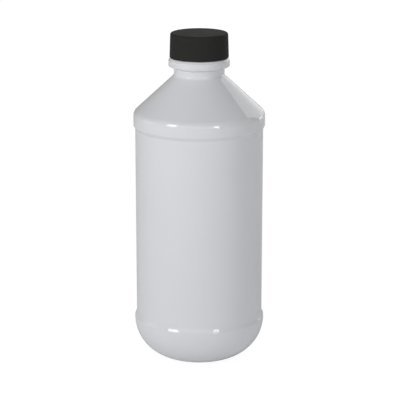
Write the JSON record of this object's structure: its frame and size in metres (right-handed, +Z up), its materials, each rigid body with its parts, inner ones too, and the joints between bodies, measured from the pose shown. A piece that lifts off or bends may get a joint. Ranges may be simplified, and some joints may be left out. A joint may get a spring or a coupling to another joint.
{
  "type": "round plastic bottle",
  "caption": "Round blow-moulded bottle with a conical shoulder, a sunk label panel and a screw cap over a threaded neck.",
  "frame": {"origin": "on the bottle's axis, in the plane that its base stands on", "axes": "+Z up along the bottle's axis, towards the cap; X and Y are equal by symmetry"},
  "size_m": [0.0694, 0.0694, 0.175],
  "materials": {
    "bottle_white": "smooth glossy white polyethylene, moulded colour",
    "cap_black": "smooth satin black polypropylene",
    "liner_foam": "matt white foamed polyethylene"
  },
  "bodies": {
    "bottle": {"bottle": "bottle_white"},
    "liner": {"cap_liner": "liner_foam"},
    "cap": {"cap": "cap_black"}
  },
  "joints": [
    {"name": "cap_lift", "type": "slide", "parent": "bottle", "child": "liner", "axis": [0, 0, 1], "range_m": [0, 0.0127]},
    {"name": "cap_turn", "type": "hinge", "parent": "liner", "child": "cap", "pos_m": [0, 0, 0.168], "axis": [0, 0, 1], "range_deg": [0, 1080]}
  ],
  "couplings": [
    {"joint": "cap_lift", "follows": "cap_turn", "m_per_rad": 0.00067375}
  ]
}
